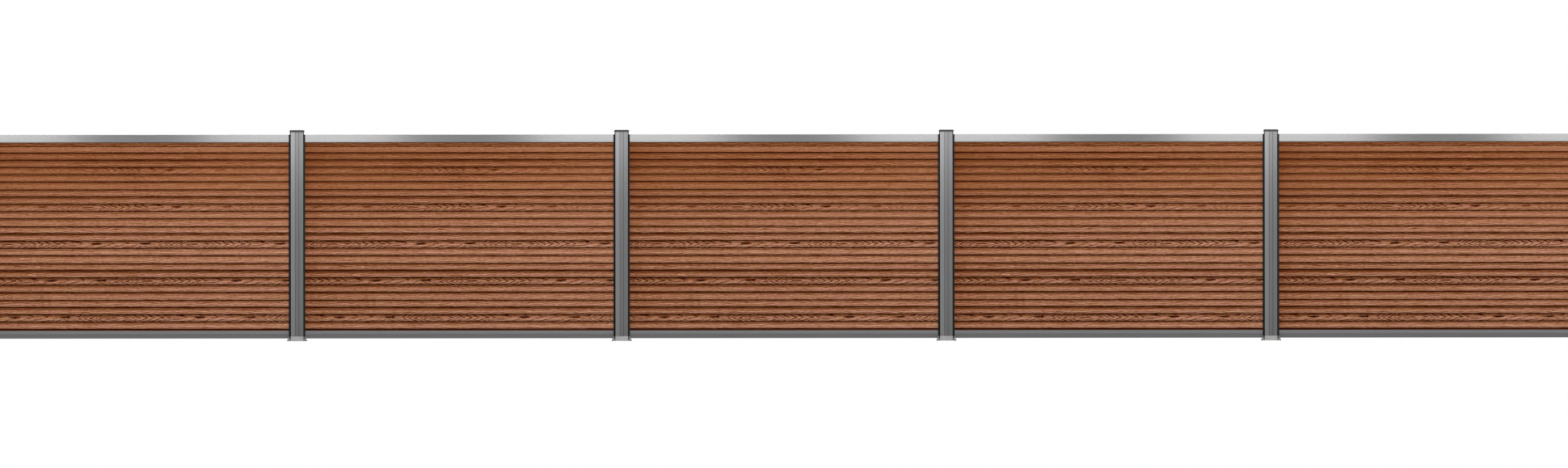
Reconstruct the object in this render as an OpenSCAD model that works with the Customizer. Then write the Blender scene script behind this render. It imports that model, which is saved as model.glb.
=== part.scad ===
// Composite fence: hollow grooved boards stacked between aluminium posts.
// Millimetres. X runs along the fence, the front looks towards -Y, +Z is up.
// The origin is under the middle of the first post's base plate.

/* [Fence run] */
// Number of bays between posts
bays = 5; // [1:1:6]
// Distance from one post's centre to the next
post_pitch = 1840; // [1200:10:2400]
// Clearance left where one piece slides into or stands on another
fit = 0.3; // [0.1:0.05:0.5]

/* [Boards] */
// Boards stacked in each bay
board_count = 5; // [1:1:9]
// Thickness of a board from crest to crest
board_t = 26; // [24:0.5:32]
// Distance from one slat's groove to the next
slat_pitch = 41.2; // [36:0.1:60]
// Slats with a curved face above the first one of each board
curved_slats = 4; // [1:1:6]
// Height of a board's flat first slat, up to the middle of its groove
first_slat_h = 42; // [36:0.5:60]
// Height of the flat part of the first slat's face
first_flat_h = 22; // [8:0.5:26]
// Width of the groove between two slats
groove_w = 4; // [2:0.1:6]
// Depth of that groove below the crests
groove_d = 6; // [4.8:0.1:7]
// Height of the rounded lower part of a curved slat
rise_h = 13; // [6:0.5:18]
// How far the slat's lower edge lies behind its crest
rise_in = 4; // [1:0.1:4.5]
// How far the slat's upper edge lies behind its crest
fall_in = 3.2; // [1:0.1:4]
// Height of the small bead along each slat's upper edge
bead_h = 5; // [3:0.1:7]
// How far the bead's crest lies behind the slat's crest
bead_in = 3.4; // [1.5:0.1:4]
// Width of the fine notch under the bead
notch_w = 1; // [0.5:0.1:2]
// Depth of that notch below the slat's crest
notch_in = 4.4; // [4.1:0.1:4.7]
// Bevel along a board's lower edges
edge_bevel = 1; // [0.3:0.1:2]

/* [Board joints and chambers] */
// Thickness of the tongue on a board's upper edge
tongue_t = 8; // [5:0.5:10]
// Height of that tongue
tongue_h = 8; // [4:0.5:9]
// Depth left free under the tongue's tip
tongue_play = 1; // [0.5:0.1:2]
// Width of the hollow chamber behind each slat
chamber_t = 15; // [10:0.5:16]
// Corner cut of the chambers
chamber_cut = 4; // [2:0.5:4.5]
// Thickness of the webs between chambers
web_t = 5; // [3:0.5:8]

/* [Closing strip] */
// Height of the strip's flat slat
strip_slat_h = 31.5; // [20:0.5:50]
// Width of the groove above that slat
strip_groove_w = 4; // [2:0.5:6]
// How far the band above the groove is set back
strip_band_in = 2; // [0.5:0.1:4]
// Height of the strip that shows below the top rail
strip_show_h = 58; // [44:0.5:90]

/* [Rails] */
// Wall thickness of both rails
rail_wall = 3; // [2:0.1:4]
// Play between a board's crests and the inside of a rail
rail_play = 0.5; // [0.2:0.1:1]
// Height of the top rail
top_rail_h = 43.5; // [30:0.5:60]
// Rounding of the top rail's upper edges
top_rail_r = 2; // [0.5:0.1:2.5]
// Height of the bead along the top rail's lower edges
rail_bead_h = 4; // [2:0.5:6]
// How far that bead stands out
rail_bead_out = 0.8; // [0.3:0.1:1.5]
// Height of the box under the bottom rail's floor
rail_box_h = 9.9; // [7:0.1:16]
// Height of the bottom rail's sides above that floor
rail_side_h = 34.1; // [24:0.1:50]
// Wall thickness of that box
rail_box_wall = 2; // [1.5:0.1:3]
// Height of the leaning upper part of the bottom rail's sides
rail_lean_h = 17; // [8:0.5:20]
// How far those sides lean in at the top
rail_lean_in = 1.8; // [0.5:0.1:1.9]

/* [Posts] */
// Width and depth of a post
post_w = 80; // [74:1:110]
// Rounding of the post's corners
post_r = 5; // [2:0.5:8]
// Wall thickness of the post
post_wall = 2.5; // [2:0.1:3.5]
// Height of the post above the top rail
post_above = 20.7; // [12:0.1:60]
// Distance of the two fine grooves from the middle of the face
face_groove_x = 10.3; // [6:0.1:20]
// Width of a fine groove
face_groove_w = 3; // [1:0.1:5]
// Depth of a fine groove
face_groove_d = 0.9; // [0.3:0.1:1.2]
// Length of board and rail that stands in the post's channel
entry = 20; // [14:0.5:22]
// Gap left for expansion at the boards' ends
end_gap = 1; // [0.5:0.1:1.5]

/* [Channel liners] */
// Wall thickness of the liner
liner_wall = 2; // [1.5:0.1:2.5]
// How far the liner stands out of the post's side
liner_out = 6.5; // [3:0.1:12]
// Length of the thick lips that grip the boards
lip_l = 6; // [3:0.1:10]

/* [Post caps] */
// How far the cap stands out past the post's faces
cap_out = 2.5; // [1.5:0.1:4]
// Thickness of the cap's top
cap_top_t = 4; // [2:0.1:6]
// Height of the skirt around the post's end
cap_skirt_h = 7.7; // [4:0.1:12]
// Bevel around the cap's upper edges
cap_bevel = 4.5; // [1:0.1:5]
// Length of the plug inside the post
cap_plug_h = 20; // [10:1:40]
// Wall thickness of the plug
cap_plug_wall = 2; // [1:0.1:3]

/* [Post feet] */
// How far the base plate stands out past the post
plate_out = 17; // [14:0.5:40]
// Thickness of the base plate
plate_t = 7; // [5:0.5:12]
// Rounding of the base plate's corners
plate_r = 6; // [2:0.5:10]
// Distance of the anchor holes from the plate's edges
anchor_in = 11; // [8:0.5:11.5]
// Diameter of an anchor hole
anchor_d = 10; // [8:0.5:11]
// Height of the solid block that the rails stand on
seat_h = 8; // [4:0.5:20]
// Height of the collar under the post, above the plate
collar_h = 19.6; // [16:0.1:40]
// Height of the spigot inside the post
spigot_h = 100; // [50:5:200]
// Wall thickness of the spigot
spigot_wall = 4; // [2:0.5:5]

/* [End covers] */
// Wall thickness of the strip that closes an end post's outer channel
cover_wall = 2; // [1:0.1:3]
// Depth of its clip legs
cover_leg = 12; // [6:1:20]

/* [Hidden] */
$fn = 48;

// Heights, from the ground up
seat_z = plate_t + seat_h;
collar_z = plate_t + collar_h;
rail_z = seat_z + fit;
rail_floor_z = rail_z + rail_box_h;
bottom_rail_top_z = rail_floor_z + rail_side_h;
board_z = rail_floor_z + fit;
board_cover = first_slat_h + curved_slats * slat_pitch + groove_w / 2;
strip_z = board_z + board_count * board_cover;
top_rail_z = strip_z + strip_show_h;
panel_top_z = top_rail_z + top_rail_h;
strip_h = panel_top_z - rail_wall - fit - strip_z;
post_z = collar_z + fit;
post_top_z = panel_top_z + post_above;

// Base plate
plate_w = post_w + 2 * plate_out;
anchor_pitch = plate_w - 2 * anchor_in;

// Half thicknesses across the fence, from the boards out to the post's channel
crest_y = board_t / 2;
core_y = crest_y - groove_d;
rail_in_y = crest_y + rail_play;
rail_y = rail_in_y + rail_wall;
liner_in_y = rail_y + rail_bead_out + fit;
liner_y = liner_in_y + liner_wall;
channel_y = liner_y + fit;

// Depths along the fence, from the post's centre out to its side
channel_x = post_w / 2 - entry - end_gap - liner_wall - fit;
chamber_x = channel_x - post_wall;
chamber_y = post_w / 2 - post_wall;
panel_l = post_pitch - post_w + 2 * entry;
overlap = 0.01;

// Radius of the arc that moves in by `sag` over a run of `run`
function arc_radius(run, sag) = (run * run + sag * sag) / (2 * sag);
function post_x(i) = (i - 1) * post_pitch;

module rounded_square(w, r) {
    square([w, w - 2 * r], center = true);
    square([w - 2 * r, w], center = true);
    for (x = [-1, 1], y = [-1, 1])
        translate([x * (w / 2 - r), y * (w / 2 - r)]) circle(r);
}

// Turns a section drawn across the fence (x = depth, y = height) into a length along it
module along_fence(length) {
    rotate([90, 0, 90]) linear_extrude(length) children();
}

module on_both_faces() {
    children();
    mirror([1, 0]) children();
}

/* ---- Boards ---- */

// Quarter of a slat's face: an arc that leaves the crest at y = 0 and lies `sag` behind it at y = run
module face_arc(run, sag) {
    r = arc_radius(run, sag);
    intersection() {
        translate([r - crest_y, 0]) circle(r, $fn = 160);
        translate([-crest_y, 0]) square([groove_d + overlap, run]);
    }
}

// The notch and the small bead that end every slat, standing on y = 0
module slat_bead() {
    bead_sag = notch_in - bead_in;
    r = arc_radius(bead_h / 2, bead_sag);
    translate([notch_in - crest_y, 0]) square([groove_d - notch_in + overlap, notch_w + bead_h]);
    translate([0, notch_w]) intersection() {
        translate([bead_in - crest_y + r, bead_h / 2]) circle(r);
        translate([bead_in - crest_y, 0]) square([bead_sag + overlap, bead_h]);
    }
}

// A curved slat: it rises from its lower edge to the crest and falls back to the bead
module curved_slat() {
    main_h = slat_pitch - groove_w - notch_w - bead_h;
    translate([0, rise_h]) {
        mirror([0, 1]) face_arc(rise_h, rise_in);
        face_arc(main_h - rise_h, fall_in);
    }
    translate([0, main_h]) slat_bead();
}

// The flat slat at the foot of every board, with its sharp lower edge
module first_slat() {
    main_h = first_slat_h - groove_w / 2 - notch_w - bead_h;
    polygon([
        [-core_y + overlap, 0],
        [-crest_y + edge_bevel, 0],
        [-crest_y, edge_bevel],
        [-crest_y, first_flat_h],
        [-core_y + overlap, first_flat_h],
    ]);
    translate([0, first_flat_h]) face_arc(main_h - first_flat_h, fall_in);
    translate([0, main_h]) slat_bead();
}

module chamber(z0, z1) {
    x = chamber_t / 2;
    c = chamber_cut;
    polygon([
        [-x, z0 + c], [-x + c, z0], [x - c, z0], [x, z0 + c],
        [x, z1 - c], [x - c, z1], [-x + c, z1], [-x, z1 - c],
    ]);
}

module tongue_slot() {
    w = tongue_t + 2 * fit;
    translate([-w / 2, -overlap]) square([w, tongue_h + tongue_play + overlap]);
}

module board_section() {
    slot_top = tongue_h + tongue_play + web_t / 2;
    difference() {
        union() {
            translate([-core_y, 0]) square([2 * core_y, board_cover - fit]);
            translate([-tongue_t / 2, 0]) square([tongue_t, board_cover + tongue_h]);
            on_both_faces() {
                first_slat();
                for (i = [0:curved_slats - 1])
                    translate([0, first_slat_h + groove_w / 2 + i * slat_pitch]) curved_slat();
            }
        }
        tongue_slot();
        chamber(slot_top, first_slat_h - web_t / 2);
        for (i = [0:curved_slats - 1])
            chamber(
                first_slat_h + i * slat_pitch + web_t / 2,
                first_slat_h + (i + 1) * slat_pitch - web_t / 2
            );
    }
}

// The strip that ends the stack: one flat slat, a groove and a band that runs up into the top rail
module strip_section() {
    band_y = crest_y - strip_band_in;
    band_z = strip_slat_h + strip_groove_w;
    difference() {
        union() {
            translate([-core_y, 0]) square([2 * core_y, strip_h]);
            on_both_faces() {
                polygon([
                    [-core_y + overlap, 0],
                    [-crest_y + edge_bevel, 0],
                    [-crest_y, edge_bevel],
                    [-crest_y, strip_slat_h - edge_bevel],
                    [-crest_y + edge_bevel, strip_slat_h],
                    [-core_y + overlap, strip_slat_h],
                ]);
                translate([-band_y, band_z])
                    square([band_y - core_y + overlap, strip_h - band_z]);
            }
        }
        tongue_slot();
        chamber(tongue_h + tongue_play + web_t / 2, strip_slat_h + strip_groove_w / 2 - web_t / 2);
        chamber(strip_slat_h + strip_groove_w / 2 + web_t / 2, strip_h - web_t);
    }
}

module board_panel() {
    color("#a2704f") {
        for (i = [0:board_count - 1])
            translate([0, 0, board_z + i * board_cover]) along_fence(panel_l) board_section();
        translate([0, 0, strip_z]) along_fence(panel_l) strip_section();
    }
}

/* ---- Rails ---- */

module top_rail() {
    color("#b0b0b2") translate([0, 0, top_rail_z]) along_fence(panel_l) difference() {
        union() {
            translate([-rail_y, 0]) square([2 * rail_y, top_rail_h - top_rail_r]);
            translate([-rail_y + top_rail_r, 0]) square([2 * (rail_y - top_rail_r), top_rail_h]);
            for (side = [-1, 1])
                translate([side * (rail_y - top_rail_r), top_rail_h - top_rail_r]) circle(top_rail_r);
            polygon([
                [-rail_y - rail_bead_out, 0],
                [rail_y + rail_bead_out, 0],
                [rail_y + rail_bead_out, rail_bead_h - rail_bead_out],
                [rail_y, rail_bead_h],
                [-rail_y, rail_bead_h],
                [-rail_y - rail_bead_out, rail_bead_h - rail_bead_out],
            ]);
        }
        translate([-rail_in_y, -overlap]) square([2 * rail_in_y, top_rail_h - rail_wall + overlap]);
    }
}

module bottom_rail() {
    bottom_rail_h = rail_box_h + rail_side_h;
    color("#6f6f72") translate([0, 0, rail_z]) along_fence(panel_l) {
        difference() {
            polygon([
                [-rail_y, 0],
                [rail_y, 0],
                [rail_y, bottom_rail_h - rail_lean_h],
                [rail_y - rail_lean_in, bottom_rail_h],
                [-rail_y + rail_lean_in, bottom_rail_h],
                [-rail_y, bottom_rail_h - rail_lean_h],
            ]);
            translate([-rail_in_y, rail_box_h]) square([2 * rail_in_y, bottom_rail_h]);
            translate([-rail_in_y, rail_box_wall])
                square([2 * rail_in_y, rail_box_h - 2 * rail_box_wall]);
        }
        translate([-tongue_t / 2, rail_box_h - overlap]) square([tongue_t, tongue_h + overlap]);
    }
}

/* ---- Posts ---- */

// The post's outline with a channel for the boards in each side
module post_outline(face_grooves) {
    difference() {
        rounded_square(post_w, post_r);
        for (side = [-1, 1]) {
            translate([side * (channel_x + post_w / 2), 0])
                square([post_w, 2 * channel_y], center = true);
            if (face_grooves)
                for (face = [-1, 1])
                    translate([side * face_groove_x, face * post_w / 2])
                        square([face_groove_w, 2 * face_groove_d], center = true);
        }
    }
}

module post() {
    pocket_y = channel_y + post_wall;
    color("#8f8f91") translate([0, 0, post_z]) linear_extrude(post_top_z - post_z) difference() {
        post_outline(true);
        square([2 * chamber_x, 2 * chamber_y], center = true);
        for (x = [-1, 1], y = [-1, 1])
            scale([x, y]) translate([channel_x, pocket_y])
                square([post_w / 2 - post_wall - channel_x, chamber_y - pocket_y]);
    }
}

// A square tube that fills the post's middle chamber
module chamber_tube(height, wall) {
    x = chamber_x - fit;
    y = chamber_y - fit;
    linear_extrude(height) difference() {
        square([2 * x, 2 * y], center = true);
        square([2 * (x - wall), 2 * (y - wall)], center = true);
    }
}

module post_cap() {
    w = post_w + 2 * cap_out;
    skirt_z = post_top_z - cap_skirt_h;
    top_z = post_top_z + fit + cap_top_t;
    color("#3c3c3f") {
        difference() {
            translate([0, 0, skirt_z]) linear_extrude(top_z - skirt_z) rounded_square(w, post_r);
            translate([0, 0, skirt_z - overlap])
                linear_extrude(cap_skirt_h + fit + overlap) rounded_square(post_w + 2 * fit, post_r);
            for (turn = [0:90:270])
                rotate(turn) translate([w / 2, w, top_z]) rotate([90, 0, 0]) linear_extrude(2 * w)
                    polygon([[-cap_bevel, overlap], [overlap, overlap], [overlap, -cap_bevel]]);
        }
        translate([0, 0, post_top_z - cap_plug_h])
            chamber_tube(cap_plug_h + fit + overlap, cap_plug_wall);
    }
}

// A cast foot: base plate, a block whose top carries the rails, a collar for the post and a spigot inside it
module post_foot() {
    color("#a9a9aa") {
        difference() {
            linear_extrude(plate_t) rounded_square(plate_w, plate_r);
            for (x = [-1, 1], y = [-1, 1])
                translate([x * anchor_pitch / 2, y * anchor_pitch / 2, -overlap])
                    cylinder(h = plate_t + 2 * overlap, d = anchor_d);
        }
        translate([0, 0, plate_t - overlap]) linear_extrude(seat_h + overlap)
            rounded_square(post_w, post_r);
        translate([0, 0, seat_z - overlap]) linear_extrude(collar_z - seat_z + overlap)
            post_outline(false);
        translate([0, 0, collar_z - overlap]) chamber_tube(spigot_h + overlap, spigot_wall);
    }
}

/* ---- Liners and covers ---- */

// The black liner in a post's right-hand channel, seen from the post's centre
module channel_liner() {
    web_x = channel_x + fit;
    tip_x = post_w / 2 + liner_out;
    color("#1f1f21") {
        translate([0, 0, rail_z]) linear_extrude(panel_top_z - rail_z) {
            translate([web_x, -liner_y]) square([liner_wall, 2 * liner_y]);
            for (y = [-liner_y, liner_in_y])
                translate([web_x, y]) square([tip_x - web_x, liner_wall]);
        }
        translate([0, 0, bottom_rail_top_z + fit])
            linear_extrude(top_rail_z - bottom_rail_top_z - 2 * fit)
                for (side = [-1, 1])
                    translate([tip_x - lip_l, side > 0 ? crest_y + fit : -liner_in_y - overlap])
                        square([lip_l, liner_in_y - crest_y - fit + overlap]);
    }
}

// Strip clipped into the channel that no board enters
module end_cover() {
    half_w = channel_y - fit;
    face_x = post_w / 2 - cover_wall;
    color("#8f8f91") translate([0, 0, rail_z]) linear_extrude(post_top_z - rail_z) {
        translate([face_x, -half_w]) square([cover_wall, 2 * half_w]);
        for (y = [-half_w, half_w - cover_wall])
            translate([face_x - cover_leg, y]) square([cover_leg + overlap, cover_wall]);
    }
}

/* ---- The run ---- */

module at_post(i) {
    translate([post_x(i), 0, 0]) children();
}

module in_bay(i) {
    translate([post_x(i) + post_w / 2 - entry, 0, 0]) children();
}

for (i = [1:bays + 1]) {
    at_post(i) post();
    at_post(i) post_cap();
    at_post(i) post_foot();
}
for (i = [1:bays]) {
    in_bay(i) board_panel();
    in_bay(i) top_rail();
    in_bay(i) bottom_rail();
    at_post(i) channel_liner();
    at_post(i + 1) mirror([1, 0, 0]) channel_liner();
}
at_post(1) mirror([1, 0, 0]) end_cover();  // end_cover_left
at_post(bays + 1) end_cover();  // end_cover_right
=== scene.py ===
"""Composite fence: the looks of every piece, put together in the order in which the fence is built."""

import bpy
import numpy as np
from mathutils import Euler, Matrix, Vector
from mathutils.geometry import delaunay_2d_cdt


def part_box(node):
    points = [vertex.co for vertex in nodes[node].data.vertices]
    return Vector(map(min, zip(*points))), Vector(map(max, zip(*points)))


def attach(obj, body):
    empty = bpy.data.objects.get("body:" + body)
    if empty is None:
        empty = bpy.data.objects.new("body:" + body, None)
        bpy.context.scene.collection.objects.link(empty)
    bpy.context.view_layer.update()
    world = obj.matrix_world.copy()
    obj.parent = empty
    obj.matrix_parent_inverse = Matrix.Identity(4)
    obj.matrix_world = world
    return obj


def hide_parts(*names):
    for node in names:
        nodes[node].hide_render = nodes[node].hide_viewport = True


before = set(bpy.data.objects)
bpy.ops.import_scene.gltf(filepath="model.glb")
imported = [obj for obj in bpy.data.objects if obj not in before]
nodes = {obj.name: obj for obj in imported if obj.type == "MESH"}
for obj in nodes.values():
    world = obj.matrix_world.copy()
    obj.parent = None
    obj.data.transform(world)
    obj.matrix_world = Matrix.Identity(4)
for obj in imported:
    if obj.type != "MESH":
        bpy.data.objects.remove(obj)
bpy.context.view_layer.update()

mm = 0.001
scene = bpy.context.scene
scene.view_settings.view_transform = "Standard"


# ---- Camera --------------------------------------------------------------------------------------
# A straight elevation of the front, so that every bay looks alike. The view is a little narrower than the
# run, which leaves the first and the last post just outside it.

view_width = 8.887
view_middle = Vector((4.6, -12.0, 0.6053))
view_roll = 0.048

camera = bpy.data.objects.new("camera", bpy.data.cameras.new("camera"))
scene.collection.objects.link(camera)
camera.data.type = "ORTHO"
camera.data.ortho_scale = view_width
camera.data.clip_end = 100.0
camera.location = view_middle
camera.rotation_euler = Euler(np.radians((90.0, view_roll, 0.0)))
scene.camera = camera


# ---- Post feet -----------------------------------------------------------------------------------
# Gravity-cast aluminium, blasted to a pale matt skin: a base plate, the block that the rails stand on,
# the collar under the post and the spigot inside it.


def linear(code):
    """sRGB hex such as "#A57358" to linear RGBA: each channel c becomes ((c + 0.055) / 1.055) ** 2.4."""
    channels = np.array([int(code[i : i + 2], 16) for i in (1, 3, 5)]) / 255.0
    low = channels / 12.92
    high = ((channels + 0.055) / 1.055) ** 2.4
    return (*np.where(channels <= 0.04045, low, high), 1.0)


def pick(sockets, key):
    """The enabled socket with that name, or that number among the enabled ones."""
    shown = [s for s in sockets if s.enabled]
    return shown[key] if isinstance(key, int) else next(s for s in shown if s.name == key)


def feed(tree, node, inputs):
    """Sets a node's inputs, each to a value or to a link from an output."""
    for key, value in inputs.items():
        if isinstance(value, bpy.types.NodeSocket):
            tree.links.new(value, pick(node.inputs, key))
        else:
            pick(node.inputs, key).default_value = value


def add_node(tree, kind, inputs=None, output=0, **settings):
    """Adds a node with its settings and inputs, and returns the output with that name or number."""
    node = tree.nodes.new(kind)
    for name, value in settings.items():
        setattr(node, name, value)
    feed(tree, node, inputs or {})
    return pick(node.outputs, output)


def new_material(name):
    """A new material, its tree and its Principled shader."""
    material = bpy.data.materials.new(name)
    material.use_nodes = True
    tree = material.node_tree
    return material, tree, tree.nodes["Principled BSDF"]


def dress(prefix, material):
    """Gives the material to every CAD node whose name starts with the prefix."""
    for name, node in nodes.items():
        if name.startswith(prefix):
            node.data.materials.clear()
            node.data.materials.append(material)


def beside_post(tree, place):
    """Place beside the nearest post: x as (x + p / 2) mod p - p / 2, its distance |x|, and |y| and z."""
    parts = add_node(tree, "ShaderNodeSeparateXYZ", {"Vector": place}).node
    x = add_node(tree, "ShaderNodeMath", {0: parts.outputs["X"], 1: post_pitch / 2.0}, operation="ADD")
    x = add_node(tree, "ShaderNodeMath", {0: x, 1: post_pitch}, operation="FLOORED_MODULO")
    x = add_node(tree, "ShaderNodeMath", {0: x, 1: post_pitch / 2.0}, operation="SUBTRACT")
    x_far = add_node(tree, "ShaderNodeMath", {0: x}, operation="ABSOLUTE")
    y_far = add_node(tree, "ShaderNodeMath", {0: parts.outputs["Y"]}, operation="ABSOLUTE")
    return x, x_far, y_far, parts.outputs["Z"]


# Blasted cast aluminium: the grit, drawn coarser than the real one so that it shows, breaks up a soft,
# pale reflection, with cloudy patches of duller skin. Painted shade darkens the collar's corners, and about
# half as much the base plate's corners.
post_pitch = 1.84
blast_grit = 1.5 * mm
dull_patch = 29.0 * mm
collar_corner = 34.5 * mm
collar_edge = 37.0 * mm
plate_top = 7.0 * mm
foot_pale = linear("#9E9D9C")
foot_dull = linear("#828281")
foot_painted_shade = linear("#3C3C3B")

cast_aluminium, tree, shader = new_material("cast_aluminium_blasted")
place = add_node(tree, "ShaderNodeTexCoord", output="Object")
grit = add_node(tree, "ShaderNodeTexNoise", {"Vector": place, "Scale": 1.0 / blast_grit, "Detail": 2.0})
cloud = add_node(tree, "ShaderNodeTexNoise", {"Vector": place, "Scale": 1.0 / dull_patch, "Detail": 3.0})
skin = add_node(
    tree, "ShaderNodeMix", {"Factor": cloud, "A": foot_dull, "B": foot_pale}, data_type="RGBA"
)
_, x_far, y_far, height = beside_post(tree, place)
near_corner = add_node(tree, "ShaderNodeMath", {0: x_far, 1: y_far}, operation="MINIMUM")
# Painted shade: the collar's corners are darkened, and the base plate's corners about half as much.
corner = add_node(
    tree,
    "ShaderNodeMapRange",
    {"Value": near_corner, "From Min": collar_corner, "From Max": collar_edge, "To Max": 0.85},
    interpolation_type="SMOOTHSTEP",
)
over_plate = {"Value": height, "From Min": plate_top, "From Max": plate_top + 2.0 * mm, "To Min": 0.55}
raised = add_node(tree, "ShaderNodeMapRange", {**over_plate, "To Max": 1.0})
corner = add_node(tree, "ShaderNodeMath", {0: corner, 1: raised}, operation="MULTIPLY")
skin = add_node(tree, "ShaderNodeMix", {"Factor": corner, "A": skin, "B": foot_painted_shade}, data_type="RGBA")
rough = add_node(tree, "ShaderNodeMapRange", {"Value": grit, "To Min": 0.5, "To Max": 0.7})
bump = add_node(tree, "ShaderNodeBump", {"Height": grit, "Strength": 0.3, "Distance": 0.3 * mm})
feed(tree, shader, {"Base Color": skin, "Roughness": rough, "Normal": bump, "Metallic": 1.0})
dress("post_foot_", cast_aluminium)


# ---- Anchor bolts --------------------------------------------------------------------------------
# Zinc-plated M8 wedge anchors, four in each base plate: a threaded stud with a washer and a hexagon nut
# that pull the plate down on its footing.

anchor_offset = 46.0 * mm
washer_r = 8.0 * mm
washer_t = 1.6 * mm
nut_flats = 13.0 * mm
nut_h = 6.5 * mm
nut_bevel = 0.7 * mm
stud_r = 4.0 * mm
stud_top = 26.5 * mm
stud_chamfer = 0.4 * mm
thread_pitch = 1.25 * mm
thread_depth = 0.6 * mm
turned_sides = 24
stud_sides = 20


def stacked(rings, bottom, top):
    """A closed surface through rings of points, lowest first, each anticlockwise seen from above.

    Quads join every ring to the next, and a fan of triangles closes either end on its pole. A surface is
    its points, its quads and its triangles.
    """
    count = rings.shape[1]
    points = np.vstack([rings.reshape(-1, 3), [bottom, top]])
    low, high = len(points) - 2, len(points) - 1
    i, j = np.meshgrid(np.arange(len(rings) - 1) * count, np.arange(count), indexing="ij")
    k = (j + 1) % count
    quads = np.stack([i + j, i + k, i + count + k, i + count + j], -1).reshape(-1, 4)
    j, k = j[0], k[0]
    under = np.stack([np.full(count, low), k, j], -1)
    over = np.stack([np.full(count, high), low - count + j, low - count + k], -1)
    return points, quads, np.vstack([under, over])


def revolved(profile, radius_factor=np.ones_like):
    """A solid of revolution about Z with flat ends, from a profile of (r, z) that runs upwards.

    At angle a, a point (r, z) of the profile lies at (r f(a) cos a, r f(a) sin a, z), where f is the
    radius_factor.
    """
    r, z = np.array(profile).T
    a = np.linspace(0.0, 2.0 * np.pi, turned_sides, endpoint=False)
    x = np.outer(r, radius_factor(a) * np.cos(a))
    y = np.outer(r, radius_factor(a) * np.sin(a))
    rings = np.stack([x, y, np.outer(z, np.ones_like(a))], -1)
    return stacked(rings, (0.0, 0.0, z[0]), (0.0, 0.0, z[-1]))


def hexagon(a):
    """A unit hexagon's radius at angle a: 1 / cos of the angle from the nearest flat's middle."""
    return 1.0 / np.cos((a + np.pi / 6.0) % (np.pi / 3.0) - np.pi / 6.0)


def threaded_stud(base, top, radius):
    """A stud whose radius falls by the thread's depth in a triangle wave of z / pitch - a / 2 pi."""
    a = np.linspace(0.0, 2.0 * np.pi, stud_sides, endpoint=False)
    z = np.arange(base, top, thread_pitch / 4.0)
    turn = np.add.outer(z / thread_pitch, -a / (2.0 * np.pi)) % 1.0
    r = radius - thread_depth * np.abs(2.0 * turn - 1.0)
    rings = np.stack([r * np.cos(a), r * np.sin(a), np.repeat(z[:, None], len(a), 1)], -1)
    return stacked(rings, (0.0, 0.0, z[0]), (0.0, 0.0, z[-1] + stud_chamfer))


def joined(surfaces):
    """One surface from several, with the later ones' indices moved up."""
    points, quads, triangles = zip(*surfaces)
    starts = np.cumsum([0] + [len(part) for part in points[:-1]])
    quads = np.vstack([part + start for part, start in zip(quads, starts)])
    triangles = np.vstack([part + start for part, start in zip(triangles, starts)])
    return np.vstack(points), quads, triangles


def new_piece(name, surface, material):
    """A smooth piece from a surface, with edges over 30 degrees kept sharp, that rides on the fence."""
    points, quads, triangles = surface
    mesh = bpy.data.meshes.new(name)
    mesh.from_pydata(points.tolist(), [], quads.tolist() + triangles.tolist())
    mesh.materials.append(material)
    piece = bpy.data.objects.new(name, mesh)
    scene.collection.objects.link(piece)
    mesh.shade_smooth()
    mesh.set_sharp_from_angle(angle=np.radians(30.0))
    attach(piece, "root")
    return piece


# Zinc plating on steel: a cool grey with faint blotches where the plating is thinner.
zinc_blotch = 4.5 * mm
zinc_thin = linear("#6E6F70")
zinc_thick = linear("#9C9D9B")

anchor_steel, tree, shader = new_material("steel_zinc_plated")
place = add_node(tree, "ShaderNodeTexCoord", output="Object")
cloud = add_node(tree, "ShaderNodeTexNoise", {"Vector": place, "Scale": 1.0 / zinc_blotch, "Detail": 2.0})
zinc = add_node(
    tree, "ShaderNodeMix", {"Factor": cloud, "A": zinc_thin, "B": zinc_thick}, data_type="RGBA"
)
feed(tree, shader, {"Base Color": zinc, "Metallic": 1.0, "Roughness": 0.42})

washer_z = plate_top + washer_t
nut_z = washer_z + nut_h
nut_r = nut_flats / 2.0
washer = revolved([(washer_r, plate_top), (washer_r, washer_z)])
nut = revolved([(nut_r, washer_z), (nut_r, nut_z - nut_bevel), (nut_r - nut_bevel, nut_z)], hexagon)
anchor = joined([washer, nut, threaded_stud(nut_z - nut_bevel, stud_top, stud_r)])

for i in range(1, 7):
    low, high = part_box(f"post_foot_{i}")
    centre = np.array([(low.x + high.x) / 2.0, (low.y + high.y) / 2.0, 0.0])
    spots = [centre + (x * anchor_offset, y * anchor_offset, 0.0) for x in (-1, 1) for y in (-1, 1)]
    points, quads, triangles = anchor
    group = joined([(points + spot, quads, triangles) for spot in spots])
    new_piece(f"anchor_bolts_{i}", group, anchor_steel)


# ---- Posts and end covers ------------------------------------------------------------------------
# Extruded aluminium, brushed along its length and anodised grey. The strips that close the outer channels
# of the two end posts are the same extrusion stock.

groove_line = 10.3 * mm
groove_half = 0.8 * mm
groove_shade_w = 2.4 * mm
corner_line = 35.1 * mm

# Anodised aluminium: streaks of the brush run up the post, drawn wider than the real ones so that they
# show. The left third of each face is paler, a painted highlight; painted shade darkens the face beside
# the two grooves, and the rounded corners carry a dark painted shade.
brush_w = 1.1 * mm
post_brush_l = 170.0 * mm
post_painted_highlight = linear("#6A6A6B")
post_grey = linear("#5E5E5F")
corner_painted_shade = linear("#101011")

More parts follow.
